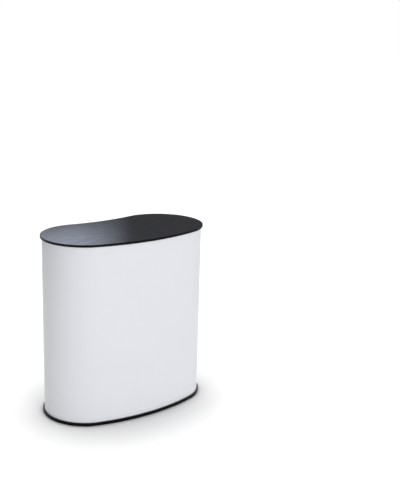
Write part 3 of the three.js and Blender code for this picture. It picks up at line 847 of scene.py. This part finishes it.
# Wrap rivets: five blind rivets at each end, through the wrap and the jamb's flange, with
# domed aluminium heads outside and set tails inside.
rivet_rows = 5
rivet_from_end = 70 * mm
head_radius = 3.2 * mm
head_height = 1 * mm
head_rim = 0.35 * mm
tail_radius = 2.3 * mm
tail_height = 2.4 * mm
plump_edge = 0.8 * mm
head_section = [
    (0, 0), (head_radius, 0), (head_radius, head_rim, keen_edge),
    (0.75 * head_radius, 0.8 * head_height, plump_edge),
    (0.3 * head_radius, head_height, slight_edge), (0.3 * head_radius, 0.5 * head_height),
    (0, 0.5 * head_height),
]
tail_section = [
    (0, 0), (tail_radius, 0), (tail_radius, 0.7 * tail_height, plump_edge),
    (0.4 * tail_radius, tail_height, slight_edge), (0, tail_height),
]
rivet_station = flange_run[len(flange_run) // 2]
rivet_climb = (jamb_top - jamb_bottom - 2 * rivet_from_end) / (rivet_rows - 1)
for part, section, inset, way, seed in (
    ("heads", head_section, wrap_inset, 1, 3), ("tails", tail_section, flange_back, -1, 4),
):
    places = [
        (
            inset_point(station, inset, jamb_bottom + rivet_from_end + rivet_climb * i),
            Vector((cos(station[4]), sin(station[4]), 0)) * way,
        )
        for station in (rivet_station, *other_end([rivet_station]))
        for i in range(rivet_rows)
    ]
    rivet = set_down(turned("rivet", section, anodised, screw_sides))
    rivets = repeated(f"wrap_rivet_{part}", rivet, places, anodised, tau, seed)
    fitted(rivets, "satin_aluminium")


# Door buffers: two black rubber buttons stuck on the lip, top and bottom, which the closed
# door rests against.
buffer_radius = 3.5 * mm
buffer_face, buffer_back = 21.3 * mm, 23.2 * mm
buffer_dome = 0.9 * mm
full_edge = 0.6 * mm

# Moulded EPDM rubber: the dullest black here, with a fine mould grain drawn at 0.5 mm.
rubber, add, vary = finish_of("moulded rubber, black", "#191919", 0.85)
rubber_grain, rubber_grain_height = 0.5 * mm, 0.03 * mm
grain = marks(add, rubber_grain, Detail=1.0)
vary(grain, rough=(0.78, 0.92), relief=rubber_grain_height)

section = [
    (0, buffer_face), (0.55 * buffer_radius, buffer_face, blunt_edge),
    (buffer_radius, buffer_face + buffer_dome, full_edge), (buffer_radius, buffer_back),
    (0, buffer_back),
]
for level in ("base", "top"):
    node = f"door_buffer_{level}"
    on_lip = square_to_hollow(hollow_half, door_edge + lip_cover / 2, middle(node).z)
    button = set_down(turned(f"{level}_buffer_moulded", section, rubber), on_lip)
    fitted(button, "black_rubber", node)


# Pivot bushes: flanged sleeves moulded in natural nylon, one pressed into each board. The
# door's pins turn in them.
bush_bore = 3.3 * mm
bush_radius = 5 * mm
bush_flange_radius = 8 * mm
bush_flange = 1 * mm

# Natural nylon, unpigmented: a warm cloudy white with a waxy shine and faint flow marks.
flow_size, glow_depth = 3 * mm, 1.5 * mm
waxy = {"Subsurface Weight": 0.2, "Subsurface Scale": glow_depth}
natural_nylon, add, vary = finish_of("moulded nylon, natural", "#DCD9CF", 0.42, extra=waxy)
flow = marks(add, flow_size, Distortion=1.5)
vary(flow, rough=(0.36, 0.5), tones=("#D5D1C4", "#E3E0D8"))

for level, face, way in bush_faces:
    node = f"{level}_pivot_bush"
    deep = levels(node)[way > 0]
    proud = face - way * bush_flange
    section = [
        (bush_bore, deep), (bush_radius, deep, soft_edge), (bush_radius, face),
        (bush_flange_radius, face), (bush_flange_radius, proud, soft_edge),
        (bush_bore, proud, slight_edge), (bush_bore, deep),
    ]
    bush = set_down(turned(f"{level}_bush_moulded", section, natural_nylon), pivot)
    fitted(bush, "natural_nylon", node)


# Door: 12 mm birch plies bent in a press to the curve of the hollow and faced in white
# laminate on every side. It is drilled for its pins, its lock and the knob's screw.
door_thickness = 12 * mm
door_arris = 1.1 * mm
pin_hole_radius = 3.3 * mm
pin_hole_depth = 12.3 * mm
lock_hole_radius = 9.3 * mm
knob_hole_radius = 2.3 * mm
lock_from_edge = 26 * mm
door_bottom, door_top = levels("door_panel")
door_inner = wrap_inset + door_thickness

# Matt white laminate: as white as the wrap, a shade warmer, with the fine pebble of its press
# plate, really 0.15 mm and drawn at 0.8 mm, and a little more shine where hands rub it.
white_laminate, add, vary = finish_of("matt laminate, white", "#E6E8EA", 0.45)
plate_grain, plate_grain_height, rub_size = 0.8 * mm, 0.02 * mm, 130 * mm
rubs = marks(add, rub_size, Detail=4.0)
vary(rubs, rough=(0.36, 0.52), tones=("#E3E5E7", "#E9EBED"))
vary(marks(add, plate_grain, Detail=2.0), relief=plate_grain_height)


def door_arc(depth):
    """The door's curve at this depth, from its hinge edge to its lock edge"""
    half = hollow_half - asin(door_edge / (hollow_radius + depth))
    return [inset_point(station, depth) for station in hollow_bend(half)]


lock_reach = hollow_radius + wrap_inset + door_thickness / 2
lock_turn = hollow_half - asin((door_edge + lock_from_edge) / lock_reach)
lock_place = square_to_hollow(lock_turn, 0, middle("lock_housing").z)
knob_place = square_to_hollow(lock_turn, 0, middle("knob_screw").z)
through_door = (wrap_inset - overrun, door_inner + overrun)
plan = door_arc(wrap_inset) + door_arc(door_inner)[::-1]
door = carved(
    sawn("door_pressed", plan, door_bottom, door_top, door_arris, white_laminate),
    drill(pin_hole_radius, door_bottom - overrun, door_bottom + pin_hole_depth, pivot, hole_sides),
    drill(pin_hole_radius, door_top - pin_hole_depth, door_top + overrun, pivot, hole_sides),
    drill(lock_hole_radius, *through_door, lock_place),
    drill(knob_hole_radius, *through_door, knob_place, hole_sides),
)
fitted(door, "white_door", "door_panel", body="door")


# Pivot pins: turned steel, pressed into the door's two ends. The lower one has a collar that
# carries the door on its bush.
pin_radius = 3 * mm
pin_collar_radius = 6 * mm
pin_collar_lift = 0.3 * mm
collar_bottom = base_top + bush_flange + pin_collar_lift
collar = [
    (pin_radius, collar_bottom), (pin_collar_radius, collar_bottom, slight_edge),
    (pin_collar_radius, door_bottom, slight_edge), (pin_radius, door_bottom),
]
for level, middle_part in (("base", collar), ("top", [])):
    node = f"door_{level}_pivot_pin"
    bottom, top = levels(node)
    section = [(0, bottom), (pin_radius, bottom, full_edge), *middle_part]
    section += [(pin_radius, top, full_edge), (0, top)]
    pin = set_down(turned(f"{level}_pin_turned", section, turned_steel), pivot)
    fitted(pin, "turned_steel", node, body="door")


# Lock housing and nut: a die-cast barrel with a round flange on the door's face and a thread
# behind it, clamped from inside by a hexagon nut. Heights are depths inside the outline.
lock_flange_radius = 12 * mm
lock_flange = 2 * mm
lock_flange_round = 1.2 * mm
lock_face = 6.4 * mm
lock_seat = lock_face + lock_flange
barrel_radius = 9 * mm
barrel_end = 27 * mm
plug_bore = 6.3 * mm
thread_pitch = 1.2 * mm
thread_depth = 0.4 * mm
nut_radius = 13 * mm
nut_face, nut_back = 21.3 * mm, 25.3 * mm
nut_bore = 9.3 * mm
nut_corner_width = 1.8 * mm
nut_corner_height = 0.5 * mm

# Satin nickel plate: a warm silver, a little darker than chrome, that mirrors softly, with
# fine wiping marks drawn at 2 mm.
nickel, add, vary = finish_of("nickel plate, satin", "#BBB6AC", 0.26, 1.0)
wipe_size = 2 * mm
vary(marks(add, wipe_size, Detail=5.0), rough=(0.19, 0.25))

root_radius = barrel_radius - thread_depth
thread = []
for i in range(int((barrel_end - door_inner) / thread_pitch)):
    crest = door_inner + thread_pitch * i
    thread += [(barrel_radius, crest), (barrel_radius, crest + 0.3 * thread_pitch)]
    thread += [(root_radius, crest + 0.6 * thread_pitch)]
section = [
    (plug_bore, barrel_end), (plug_bore, lock_face, slight_edge),
    (lock_flange_radius, lock_face, lock_flange_round), (lock_flange_radius, lock_seat, keen_edge),
    (barrel_radius, lock_seat), *thread, (root_radius, barrel_end), (plug_bore, barrel_end),
]
housing = turned("lock_housing_cast", section, nickel, stud_sides)
section = [(0, nut_face), (nut_radius, nut_face), (nut_radius, nut_back), (0, nut_back)]
nut = turned("lock_nut_pressed", section, nickel, sides=6)
corner_start = (nut_radius - nut_corner_width, nut_back + nut_corner_height)
section = [
    corner_start, (nut_radius + overrun, nut_back + nut_corner_height),
    (nut_radius + overrun, nut_back - 2 * nut_corner_height), corner_start,
]
waste = turned("corners turned off", section, None)
carved(nut, waste, drill(nut_bore, nut_face - overrun, nut_back + overrun))
for made, node in ((housing, "lock_housing"), (nut, "lock_nut")):
    fitted(set_down(made, lock_place), "nickel_plate", node, body="door")


# Pull knob: a turned mushroom with a foot, nickel plated, held from inside the door by one
# screw with a domed head.
knob_face = -7.6 * mm
knob_radius = 11 * mm
knob_crown = 1.5 * mm
knob_thickness = 7 * mm
knob_under = knob_face + knob_thickness
knob_round = 1.2 * mm
neck_round = 1.5 * mm
neck_radius = 5 * mm
foot_radius = 7 * mm
foot_thickness = 2 * mm
foot_face = lock_seat - foot_thickness
knob_bore = 2.3 * mm
knob_bore_end = -0.9 * mm
dish_radius = 6 * mm
dish_depth = 0.6 * mm
dish_ease = 6 * mm
section = [
    (0, knob_face + dish_depth), (dish_radius, knob_face, dish_ease),
    (knob_radius - knob_crown, knob_face, full_edge),
    (knob_radius, knob_face + knob_crown, plump_edge),
    (knob_radius, knob_under - knob_crown, knob_round), (neck_radius, knob_under, neck_round),
    (neck_radius, foot_face, blunt_edge), (foot_radius, foot_face, full_edge),
    (foot_radius, lock_seat), (knob_bore, lock_seat), (knob_bore, knob_bore_end),
    (0, knob_bore_end),
]
knob = set_down(turned("door_knob_turned", section, nickel, stud_sides), knob_place)
fitted(knob, "nickel_plate", "door_knob", body="door")


def domed_screw(stem, shank, head, place, body):
    """A pressed screw: its shank's radius, end and ease, its head's radius, seat, face and dome"""
    radius, end, ease = shank
    head_radius, seat, face, dome = head
    section = [
        (0, end), (radius, end, ease), (radius, seat), (head_radius, seat, keen_edge),
        (head_radius, face, dome), (0, face),
    ]
    made = carved(turned(f"{stem}_pressed", section, zinc_plate), cross_recess(face))
    fitted(set_down(made, place), "turned_steel", stem, body=body)


knob_screw_shank = (2 * mm, -0.6 * mm, soft_edge)
knob_screw_head = (4.5 * mm, 21.3 * mm, 23.9 * mm, 1.6 * mm)
domed_screw("knob_screw", knob_screw_shank, knob_screw_head, knob_place, "door")


# Lock plug, cam and cam screw: the plug turns with the key, and carries a pressed steel cam
# on its end, which swings behind the lip of the lock jamb.
plug_radius = 6 * mm
plug_face = 6.9 * mm
plug_end = 27.3 * mm
stub_radius = 3.5 * mm
screw_hole_radius = 2 * mm
screw_hole_end = 21.8 * mm
cam_front = 27.6 * mm
cam_back = 30.1 * mm
key_slot_width, key_slot_height = 2 * mm, 8 * mm
key_slot_depth = 5 * mm
key_slot_mouth = 0.4 * mm
cam_half_width = 7 * mm
cam_reach = 25 * mm
cam_corner = 2.5 * mm
cam_steps = 16
cam_arris = 0.3 * mm
cam_hole_radius = 3.8 * mm

section = [
    (0, plug_face), (plug_radius, plug_face, soft_edge), (plug_radius, plug_end, keen_edge),
    (stub_radius, plug_end), (stub_radius, cam_back), (screw_hole_radius, cam_back),
    (screw_hole_radius, screw_hole_end), (0, screw_hole_end),
]
keyway = [
    [
        (x * (key_slot_width / 2 + wider), y * (key_slot_height / 2 + wider), depth)
        for x, y in square
    ]
    for depth, wider in (
        (plug_face + key_slot_depth, 0), (plug_face + key_slot_mouth, 0),
        (plug_face, key_slot_mouth), (plug_face - overrun, key_slot_mouth + overrun),
    )
]
plug = turned("lock_plug_slotted", section, nickel)
carved(plug, piece(skinned(keyway), "keyway", None))
fitted(set_down(plug, lock_place), "nickel_plate", "lock_plug", body="lock")

plan = [
    (cam_half_width * cos(turn), cam_half_width * sin(turn))
    for turn in [pi * i / cam_steps for i in range(cam_steps + 1)]
]
plan += [(side * cam_half_width, -cam_reach, cam_corner) for side in (-1, 1)]
cam = sawn("lock_cam_pressed", eased(plan), cam_front, cam_back, cam_arris, zinc_plate)
carved(cam, drill(cam_hole_radius, cam_front - overrun, cam_back + overrun))
fitted(set_down(cam, lock_place), "turned_steel", "lock_cam", body="lock")

cam_screw_shank = (1.7 * mm, 22.1 * mm, slight_edge)
cam_screw_head = (5 * mm, 30.4 * mm, 32.8 * mm, 1.4 * mm)
domed_screw("cam_screw", cam_screw_shank, cam_screw_head, lock_place, "lock")


# Floor and light: a wide pale floor that runs out to white, a large soft light from the front,
# a weak one from the back, and a white room whose ceiling is greyer in mirrors.
floor_reach = 30
floor_glow = 0.52
# The painted contact shadow's reach, and the openness at or below which it is darkest
contact_reach = 0.42
contact_dark = 0.54
sky_strength = 0.52
ceiling_strength = 0.35
ceiling_from = 0.3
# Each lamp's strength, then its heading, climb and softness in degrees
lamps = {"front light": (1.24, -7, 13, 38), "back light": (0.74, 157, 50, 60)}

# Matt floor paint. To the camera and to mirrors it glows up to white a little way from the
# counter, and the glow fades where the counter stands close over it: a painted contact shadow.
no_shine = {"Specular IOR Level": 0.0}
floor_paint, add, _ = finish_of("matt floor paint, white", "#EDEDED", 0.9, extra=no_shine)


def seen_ray(add):
    """One for the rays that see the background: straight, mirrored and passed through"""
    straight, mirrored, passed = (
        add("LightPath", give=f"Is {kind} Ray") for kind in ("Camera", "Glossy", "Transmission")
    )
    either = add("Math", {0: straight, 1: mirrored}, operation="MAXIMUM")
    return add("Math", {0: either, 1: passed}, operation="MAXIMUM")


# Painted contact shadow: ambient occlusion near the counter dims the floor's glow
openness = add("AmbientOcclusion", {"Distance": contact_reach}, give="AO", samples=16)
glow_with_painted_shadow = add("MapRange", {"Value": openness, "From Min": contact_dark, "To Max": floor_glow})
glow = add("Math", {0: seen_ray(add), 1: glow_with_painted_shadow}, operation="MULTIPLY")
floor_shader = floor_paint.node_tree.nodes["Principled BSDF"].inputs
floor_paint.node_tree.links.new(glow, floor_shader["Emission Strength"])


def stage_sheet(name, corners, finish, *unseen):
    """A flat sheet of the set, which these kinds of ray don't see"""
    mesh = bpy.data.meshes.new(name)
    mesh.from_pydata(corners, [], [(0, 1, 2, 3)])
    mesh.materials.append(finish)
    made = put_out(name, mesh)
    made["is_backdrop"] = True
    for kind in unseen:
        setattr(made, f"visible_{kind}", False)


stage_sheet("floor", [(x * floor_reach, y * floor_reach, 0) for x, y in square], floor_paint)

world = bpy.data.worlds.new("white room")
bpy.context.scene.world = world
world.use_nodes = True
add = partial(add_node, world.node_tree)
way_out = add("TexCoord", give="Generated")
skyward = add("SeparateXYZ", {"Vector": way_out}, give="Z")
seen_sky = add(
    "MapRange",
    {"Value": skyward, "From Min": ceiling_from, "To Min": 1.0, "To Max": ceiling_strength},
    interpolation_type="SMOOTHSTEP",
)
brightness = add("Mix", {"Factor": seen_ray(add), "A": sky_strength, "B": seen_sky})
background = world.node_tree.nodes["Background"].inputs
background["Color"].default_value = (1, 1, 1, 1)
world.node_tree.links.new(brightness, background["Strength"])

for name, (strength, heading, climb, softness) in lamps.items():
    lamp = bpy.data.lights.new(name, "SUN")
    lamp.energy = strength
    lamp.angle = radians(softness)
    light = put_out(name, lamp)
    tilt = Matrix.Rotation(radians(90 - climb), 4, "X")
    light.matrix_world = Matrix.Rotation(radians(heading), 4, "Z") @ tilt
    light.visible_glossy = False


# Graded card: a card close behind the top, which only shine sees, and only from the front. It
# stands in for what the photograph's worktop mirrors: pale sky on the left and high up, and a
# dark room on the right and lower down.
card_from, card_to = (-1.2, 0.35), (1.6, 0.35)
card_bottom, card_top = 0.955, 1.6
card_pale = (1.44, 1.57, 1.9, 1)
card_dark = (0.1, 0.1, 0.11, 1)
fade_from, fade_to = -0.12, 0.27
climb_from, climb_to = 0.98, 1.16
least_climb, most_climb = 0.25, 1.4
graded_card = bpy.data.materials.new("graded card")
graded_card.use_nodes = True
graded_card.node_tree.nodes.clear()
add = partial(add_node, graded_card.node_tree)
place = add("TexCoord", give="Object")
sideways, upwards = (add("SeparateXYZ", {"Vector": place}, give=axis) for axis in "XZ")
fade = add("MapRange", {"Value": sideways, "From Min": fade_to, "From Max": fade_from})
span = {"From Min": climb_from, "From Max": climb_to, "To Min": least_climb, "To Max": most_climb}
climb = add("MapRange", {"Value": upwards, **span})
lightness = add("Math", {0: fade, 1: climb}, operation="MULTIPLY", use_clamp=True)
card_tone = add("Mix", {"Factor": lightness, "A": card_dark, "B": card_pale}, data_type="RGBA")
lit = add("Emission", {"Color": card_tone})
clear = add("BsdfTransparent")
from_behind = add("NewGeometry", give="Backfacing")
one_sided = add("MixShader", {0: from_behind, 1: lit, 2: clear})
add("OutputMaterial", {"Surface": one_sided})


def sheet_corners(start, end, bottom, top):
    """The corners of an upright sheet over the line from start to end"""
    return [(*start, bottom), (*end, bottom), (*end, top), (*start, top)]


card_corners = sheet_corners(card_from, card_to, card_bottom, card_top)
unseen = ("camera", "diffuse", "shadow", "transmission")
stage_sheet("graded_card", card_corners, graded_card, *unseen)


# Dark flag: a black card up beside the left end, which only soft light sees. It takes a little
# light from the upper left of the wrap, as in the photograph.
flag_from, flag_to = (-1.08, -0.25), (-0.34, 0.74)
flag_bottom, flag_top = 1.05, 1.9
black_flock = finish_of("black flock", "#050505", 1.0)[0]
flag_corners = sheet_corners(flag_from, flag_to, flag_bottom, flag_top)
unseen = ("camera", "glossy", "shadow", "transmission")
stage_sheet("dark_flag", flag_corners, black_flock, *unseen)


# Camera: fitted to the edges of the counter in the photograph
camera_place = (-2.59888, -3.80178, 2.05189)
camera_heading = radians(37.2601)
camera_pitch = radians(-15.9804)
camera_roll = radians(-1.1621)
camera_lens = 67.5013
camera_shift = (0.0613, 0.0521)
lens = bpy.data.cameras.new("camera")
lens.lens = camera_lens
lens.shift_x, lens.shift_y = camera_shift
camera = put_out("camera", lens)
camera.matrix_world = (
    Matrix.Translation(camera_place)
    @ Matrix.Rotation(-camera_heading, 4, "Z")
    @ Matrix.Rotation(quarter + camera_pitch, 4, "X")
    @ Matrix.Rotation(-camera_roll, 4, "Z")
)
bpy.context.scene.camera = camera
bpy.context.scene.view_settings.view_transform = "Standard"

low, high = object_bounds()
